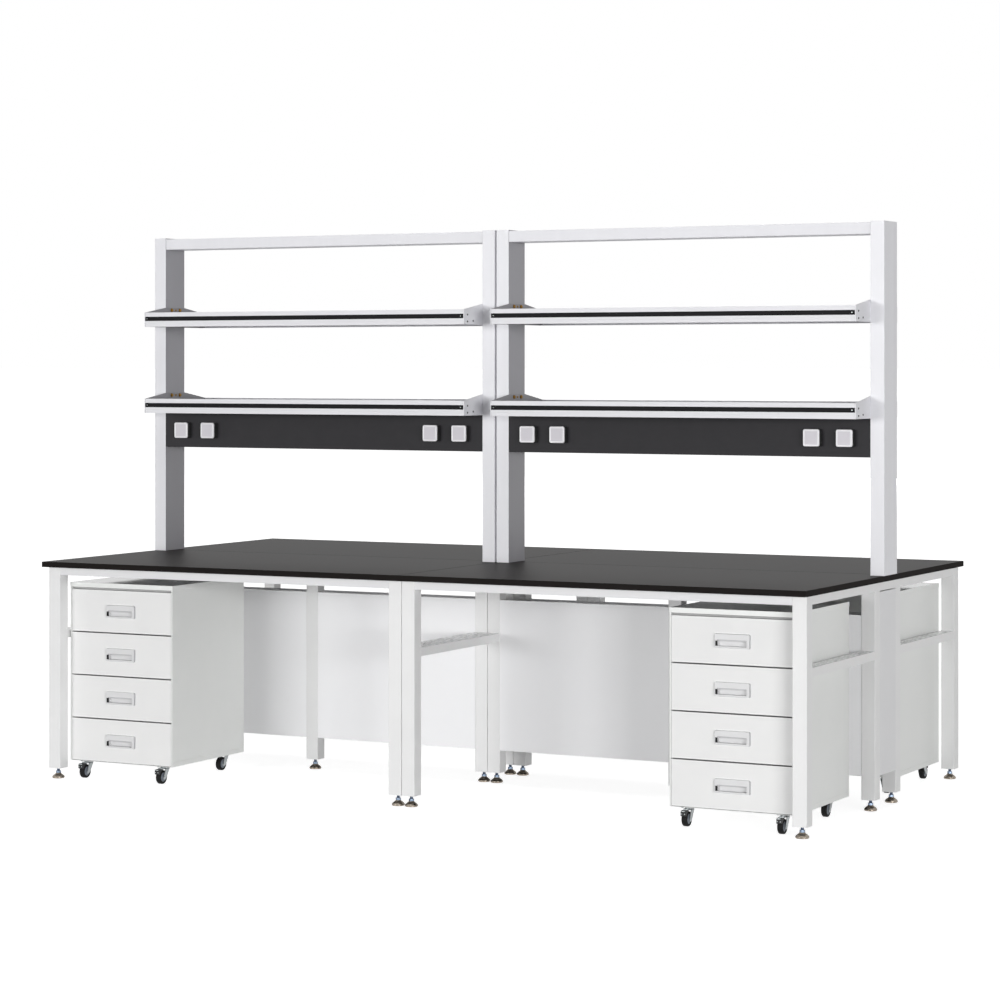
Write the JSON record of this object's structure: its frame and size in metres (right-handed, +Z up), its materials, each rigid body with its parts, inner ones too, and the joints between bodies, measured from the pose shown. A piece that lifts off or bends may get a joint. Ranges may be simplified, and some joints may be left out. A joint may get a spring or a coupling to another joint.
{
  "type": "laboratory island bench",
  "caption": "Double-sided laboratory bench with black worktops, a steel frame, a central reagent shelf rack with sockets, and rolling drawer pedestals.",
  "frame": {"origin": "on the floor under the middle of the bench", "axes": "+X along the length to the right, +Y to the rear (the front row faces -Y), +Z up"},
  "size_m": [3, 1.6, 2.018],
  "materials": {
    "worktop_resin": "black phenolic resin, fine satin grain",
    "frame_steel": "white epoxy powder coat",
    "panel_steel": "pale grey-white powder coat",
    "pedestal_steel": "light grey powder coat",
    "drawer_steel": "off-white powder coat",
    "rack_aluminium": "white powder-coated extrusion",
    "rail_aluminium": "white anodised extrusion",
    "black_insert": "black soft strip",
    "brass_bolts": "yellow-passivated",
    "channel_black": "dark satin powder coat",
    "socket_plastic": "white moulded plastic",
    "foot_steel": "plated steel",
    "zinc_steel": "bright zinc",
    "caster_rubber": "black rubber tread"
  },
  "bodies": {
    "bench": {"back_panels": "panel_steel", "bracket_bolts": "brass_bolts", "edge_rail_inserts": "black_insert", "frame_crossbars": "frame_steel", "front_row_worktops": "worktop_resin", "legs": "frame_steel", "levelling_feet": "foot_steel", "long_rails": "frame_steel", "power_channels": "channel_black", "rack_header_rails": "rack_aluminium", "rack_uprights": "rack_aluminium", "rear_row_worktops": "worktop_resin", "service_end_panels": "panel_steel", "shelf_brackets": "panel_steel", "shelf_decks": "panel_steel", "shelf_edge_rails": "rail_aluminium", "socket_bases": "socket_plastic"},
    "front_left_pedestal": {"front_left_pedestal_carcass": "pedestal_steel"},
    "front_left_pedestal_drawer_1": {"front_left_pedestal_drawer_1": "drawer_steel"},
    "front_left_pedestal_drawer_2": {"front_left_pedestal_drawer_2": "drawer_steel"},
    "front_left_pedestal_drawer_3": {"front_left_pedestal_drawer_3": "drawer_steel"},
    "front_left_pedestal_drawer_4": {"front_left_pedestal_drawer_4": "drawer_steel"},
    "front_left_pedestal_front_left_fork": {"front_left_pedestal_front_left_fork": "zinc_steel"},
    "front_left_pedestal_front_left_wheel": {"front_left_pedestal_front_left_wheel": "caster_rubber"},
    "front_left_pedestal_front_right_fork": {"front_left_pedestal_front_right_fork": "zinc_steel"},
    "front_left_pedestal_front_right_wheel": {"front_left_pedestal_front_right_wheel": "caster_rubber"},
    "front_left_pedestal_rear_left_fork": {"front_left_pedestal_rear_left_fork": "zinc_steel"},
    "front_left_pedestal_rear_left_wheel": {"front_left_pedestal_rear_left_wheel": "caster_rubber"},
    "front_left_pedestal_rear_right_fork": {"front_left_pedestal_rear_right_fork": "zinc_steel"},
    "front_left_pedestal_rear_right_wheel": {"front_left_pedestal_rear_right_wheel": "caster_rubber"},
    "front_right_pedestal": {"front_right_pedestal_carcass": "pedestal_steel"},
    "front_right_pedestal_drawer_1": {"front_right_pedestal_drawer_1": "drawer_steel"},
    "front_right_pedestal_drawer_2": {"front_right_pedestal_drawer_2": "drawer_steel"},
    "front_right_pedestal_drawer_3": {"front_right_pedestal_drawer_3": "drawer_steel"},
    "front_right_pedestal_drawer_4": {"front_right_pedestal_drawer_4": "drawer_steel"},
    "front_right_pedestal_front_left_fork": {"front_right_pedestal_front_left_fork": "zinc_steel"},
    "front_right_pedestal_front_left_wheel": {"front_right_pedestal_front_left_wheel": "caster_rubber"},
    "front_right_pedestal_front_right_fork": {"front_right_pedestal_front_right_fork": "zinc_steel"},
    "front_right_pedestal_front_right_wheel": {"front_right_pedestal_front_right_wheel": "caster_rubber"},
    "front_right_pedestal_rear_left_fork": {"front_right_pedestal_rear_left_fork": "zinc_steel"},
    "front_right_pedestal_rear_left_wheel": {"front_right_pedestal_rear_left_wheel": "caster_rubber"},
    "front_right_pedestal_rear_right_fork": {"front_right_pedestal_rear_right_fork": "zinc_steel"},
    "front_right_pedestal_rear_right_wheel": {"front_right_pedestal_rear_right_wheel": "caster_rubber"},
    "rear_right_pedestal": {"rear_right_pedestal_carcass": "pedestal_steel"},
    "rear_right_pedestal_drawer_1": {"rear_right_pedestal_drawer_1": "drawer_steel"},
    "rear_right_pedestal_drawer_2": {"rear_right_pedestal_drawer_2": "drawer_steel"},
    "rear_right_pedestal_drawer_3": {"rear_right_pedestal_drawer_3": "drawer_steel"},
    "rear_right_pedestal_drawer_4": {"rear_right_pedestal_drawer_4": "drawer_steel"},
    "rear_right_pedestal_front_left_fork": {"rear_right_pedestal_front_left_fork": "zinc_steel"},
    "rear_right_pedestal_front_left_wheel": {"rear_right_pedestal_front_left_wheel": "caster_rubber"},
    "rear_right_pedestal_front_right_fork": {"rear_right_pedestal_front_right_fork": "zinc_steel"},
    "rear_right_pedestal_front_right_wheel": {"rear_right_pedestal_front_right_wheel": "caster_rubber"},
    "rear_right_pedestal_rear_left_fork": {"rear_right_pedestal_rear_left_fork": "zinc_steel"},
    "rear_right_pedestal_rear_left_wheel": {"rear_right_pedestal_rear_left_wheel": "caster_rubber"},
    "rear_right_pedestal_rear_right_fork": {"rear_right_pedestal_rear_right_fork": "zinc_steel"},
    "rear_right_pedestal_rear_right_wheel": {"rear_right_pedestal_rear_right_wheel": "caster_rubber"},
    "front_left_socket_covers": {"front_left_socket_covers": "socket_plastic"},
    "front_right_socket_covers": {"front_right_socket_covers": "socket_plastic"},
    "rear_left_socket_covers": {"rear_left_socket_covers": "socket_plastic"},
    "rear_right_socket_covers": {"rear_right_socket_covers": "socket_plastic"}
  },
  "joints": [
    {"name": "front_left_pedestal_roll_out", "type": "slide", "parent": "bench", "child": "front_left_pedestal", "axis": [0, -1, 0], "range_m": [0, 0.6]},
    {"name": "front_left_pedestal_drawer_1_slide", "type": "slide", "parent": "front_left_pedestal", "child": "front_left_pedestal_drawer_1", "axis": [0, -1, 0], "range_m": [0, 0.38]},
    {"name": "front_left_pedestal_drawer_2_slide", "type": "slide", "parent": "front_left_pedestal", "child": "front_left_pedestal_drawer_2", "axis": [0, -1, 0], "range_m": [0, 0.38]},
    {"name": "front_left_pedestal_drawer_3_slide", "type": "slide", "parent": "front_left_pedestal", "child": "front_left_pedestal_drawer_3", "axis": [0, -1, 0], "range_m": [0, 0.38]},
    {"name": "front_left_pedestal_drawer_4_slide", "type": "slide", "parent": "front_left_pedestal", "child": "front_left_pedestal_drawer_4", "axis": [0, -1, 0], "range_m": [0, 0.38]},
    {"name": "front_left_pedestal_front_left_fork_swivel", "type": "hinge", "parent": "front_left_pedestal", "child": "front_left_pedestal_front_left_fork", "pos_m": [-1.378, -0.678, 0.0562], "axis": [0, 0, 1], "continuous": true},
    {"name": "front_left_pedestal_front_left_wheel_spin", "type": "hinge", "parent": "front_left_pedestal_front_left_fork", "child": "front_left_pedestal_front_left_wheel", "pos_m": [-1.378, -0.699, 0.025], "axis": [1, 0, 0], "continuous": true},
    {"name": "front_left_pedestal_front_right_fork_swivel", "type": "hinge", "parent": "front_left_pedestal", "child": "front_left_pedestal_front_right_fork", "pos_m": [-1.04, -0.678, 0.0562], "axis": [0, 0, 1], "continuous": true},
    {"name": "front_left_pedestal_front_right_wheel_spin", "type": "hinge", "parent": "front_left_pedestal_front_right_fork", "child": "front_left_pedestal_front_right_wheel", "pos_m": [-1.04, -0.699, 0.025], "axis": [1, 0, 0], "continuous": true},
    {"name": "front_left_pedestal_rear_left_fork_swivel", "type": "hinge", "parent": "front_left_pedestal", "child": "front_left_pedestal_rear_left_fork", "pos_m": [-1.378, -0.282, 0.0562], "axis": [0, 0, 1], "continuous": true},
    {"name": "front_left_pedestal_rear_left_wheel_spin", "type": "hinge", "parent": "front_left_pedestal_rear_left_fork", "child": "front_left_pedestal_rear_left_wheel", "pos_m": [-1.378, -0.303, 0.025], "axis": [1, 0, 0], "continuous": true},
    {"name": "front_left_pedestal_rear_right_fork_swivel", "type": "hinge", "parent": "front_left_pedestal", "child": "front_left_pedestal_rear_right_fork", "pos_m": [-1.04, -0.282, 0.0562], "axis": [0, 0, 1], "continuous": true},
    {"name": "front_left_pedestal_rear_right_wheel_spin", "type": "hinge", "parent": "front_left_pedestal_rear_right_fork", "child": "front_left_pedestal_rear_right_wheel", "pos_m": [-1.04, -0.303, 0.025], "axis": [1, 0, 0], "continuous": true},
    {"name": "front_right_pedestal_roll_out", "type": "slide", "parent": "bench", "child": "front_right_pedestal", "axis": [0, -1, 0], "range_m": [0, 0.6]},
    {"name": "front_right_pedestal_drawer_1_slide", "type": "slide", "parent": "front_right_pedestal", "child": "front_right_pedestal_drawer_1", "axis": [0, -1, 0], "range_m": [0, 0.38]},
    {"name": "front_right_pedestal_drawer_2_slide", "type": "slide", "parent": "front_right_pedestal", "child": "front_right_pedestal_drawer_2", "axis": [0, -1, 0], "range_m": [0, 0.38]},
    {"name": "front_right_pedestal_drawer_3_slide", "type": "slide", "parent": "front_right_pedestal", "child": "front_right_pedestal_drawer_3", "axis": [0, -1, 0], "range_m": [0, 0.38]},
    {"name": "front_right_pedestal_drawer_4_slide", "type": "slide", "parent": "front_right_pedestal", "child": "front_right_pedestal_drawer_4", "axis": [0, -1, 0], "range_m": [0, 0.38]},
    {"name": "front_right_pedestal_front_left_fork_swivel", "type": "hinge", "parent": "front_right_pedestal", "child": "front_right_pedestal_front_left_fork", "pos_m": [1.04, -0.678, 0.0562], "axis": [0, 0, 1], "continuous": true},
    {"name": "front_right_pedestal_front_left_wheel_spin", "type": "hinge", "parent": "front_right_pedestal_front_left_fork", "child": "front_right_pedestal_front_left_wheel", "pos_m": [1.04, -0.699, 0.025], "axis": [1, 0, 0], "continuous": true},
    {"name": "front_right_pedestal_front_right_fork_swivel", "type": "hinge", "parent": "front_right_pedestal", "child": "front_right_pedestal_front_right_fork", "pos_m": [1.378, -0.678, 0.0562], "axis": [0, 0, 1], "continuous": true},
    {"name": "front_right_pedestal_front_right_wheel_spin", "type": "hinge", "parent": "front_right_pedestal_front_right_fork", "child": "front_right_pedestal_front_right_wheel", "pos_m": [1.378, -0.699, 0.025], "axis": [1, 0, 0], "continuous": true},
    {"name": "front_right_pedestal_rear_left_fork_swivel", "type": "hinge", "parent": "front_right_pedestal", "child": "front_right_pedestal_rear_left_fork", "pos_m": [1.04, -0.282, 0.0562], "axis": [0, 0, 1], "continuous": true},
    {"name": "front_right_pedestal_rear_left_wheel_spin", "type": "hinge", "parent": "front_right_pedestal_rear_left_fork", "child": "front_right_pedestal_rear_left_wheel", "pos_m": [1.04, -0.303, 0.025], "axis": [1, 0, 0], "continuous": true},
    {"name": "front_right_pedestal_rear_right_fork_swivel", "type": "hinge", "parent": "front_right_pedestal", "child": "front_right_pedestal_rear_right_fork", "pos_m": [1.378, -0.282, 0.0562], "axis": [0, 0, 1], "continuous": true},
    {"name": "front_right_pedestal_rear_right_wheel_spin", "type": "hinge", "parent": "front_right_pedestal_rear_right_fork", "child": "front_right_pedestal_rear_right_wheel", "pos_m": [1.378, -0.303, 0.025], "axis": [1, 0, 0], "continuous": true},
    {"name": "rear_right_pedestal_roll_out", "type": "slide", "parent": "bench", "child": "rear_right_pedestal", "axis": [0, 1, 0], "range_m": [0, 0.6]},
    {"name": "rear_right_pedestal_drawer_1_slide", "type": "slide", "parent": "rear_right_pedestal", "child": "rear_right_pedestal_drawer_1", "axis": [0, 1, 0], "range_m": [0, 0.38]},
    {"name": "rear_right_pedestal_drawer_2_slide", "type": "slide", "parent": "rear_right_pedestal", "child": "rear_right_pedestal_drawer_2", "axis": [0, 1, 0], "range_m": [0, 0.38]},
    {"name": "rear_right_pedestal_drawer_3_slide", "type": "slide", "parent": "rear_right_pedestal", "child": "rear_right_pedestal_drawer_3", "axis": [0, 1, 0], "range_m": [0, 0.38]},
    {"name": "rear_right_pedestal_drawer_4_slide", "type": "slide", "parent": "rear_right_pedestal", "child": "rear_right_pedestal_drawer_4", "axis": [0, 1, 0], "range_m": [0, 0.38]},
    {"name": "rear_right_pedestal_front_left_fork_swivel", "type": "hinge", "parent": "rear_right_pedestal", "child": "rear_right_pedestal_front_left_fork", "pos_m": [1.378, 0.678, 0.0562], "axis": [0, 0, 1], "continuous": true},
    {"name": "rear_right_pedestal_front_left_wheel_spin", "type": "hinge", "parent": "rear_right_pedestal_front_left_fork", "child": "rear_right_pedestal_front_left_wheel", "pos_m": [1.378, 0.699, 0.025], "axis": [1, 0, 0], "continuous": true},
    {"name": "rear_right_pedestal_front_right_fork_swivel", "type": "hinge", "parent": "rear_right_pedestal", "child": "rear_right_pedestal_front_right_fork", "pos_m": [1.04, 0.678, 0.0562], "axis": [0, 0, 1], "continuous": true},
    {"name": "rear_right_pedestal_front_right_wheel_spin", "type": "hinge", "parent": "rear_right_pedestal_front_right_fork", "child": "rear_right_pedestal_front_right_wheel", "pos_m": [1.04, 0.699, 0.025], "axis": [1, 0, 0], "continuous": true},
    {"name": "rear_right_pedestal_rear_left_fork_swivel", "type": "hinge", "parent": "rear_right_pedestal", "child": "rear_right_pedestal_rear_left_fork", "pos_m": [1.378, 0.282, 0.0562], "axis": [0, 0, 1], "continuous": true},
    {"name": "rear_right_pedestal_rear_left_wheel_spin", "type": "hinge", "parent": "rear_right_pedestal_rear_left_fork", "child": "rear_right_pedestal_rear_left_wheel", "pos_m": [1.378, 0.303, 0.025], "axis": [1, 0, 0], "continuous": true},
    {"name": "rear_right_pedestal_rear_right_fork_swivel", "type": "hinge", "parent": "rear_right_pedestal", "child": "rear_right_pedestal_rear_right_fork", "pos_m": [1.04, 0.282, 0.0562], "axis": [0, 0, 1], "continuous": true},
    {"name": "rear_right_pedestal_rear_right_wheel_spin", "type": "hinge", "parent": "rear_right_pedestal_rear_right_fork", "child": "rear_right_pedestal_rear_right_wheel", "pos_m": [1.04, 0.303, 0.025], "axis": [1, 0, 0], "continuous": true},
    {"name": "front_left_socket_covers_flip", "type": "hinge", "parent": "bench", "child": "front_left_socket_covers", "pos_m": [-0.752, -0.0813, 1.298], "axis": [-1, 0, 0], "range_deg": [0, 110]},
    {"name": "front_right_socket_covers_flip", "type": "hinge", "parent": "bench", "child": "front_right_socket_covers", "pos_m": [0.752, -0.0813, 1.298], "axis": [-1, 0, 0], "range_deg": [0, 110]},
    {"name": "rear_left_socket_covers_flip", "type": "hinge", "parent": "bench", "child": "rear_left_socket_covers", "pos_m": [-0.752, 0.0813, 1.298], "axis": [1, 0, 0], "range_deg": [0, 110]},
    {"name": "rear_right_socket_covers_flip", "type": "hinge", "parent": "bench", "child": "rear_right_socket_covers", "pos_m": [0.752, 0.0813, 1.298], "axis": [1, 0, 0], "range_deg": [0, 110]}
  ]
}
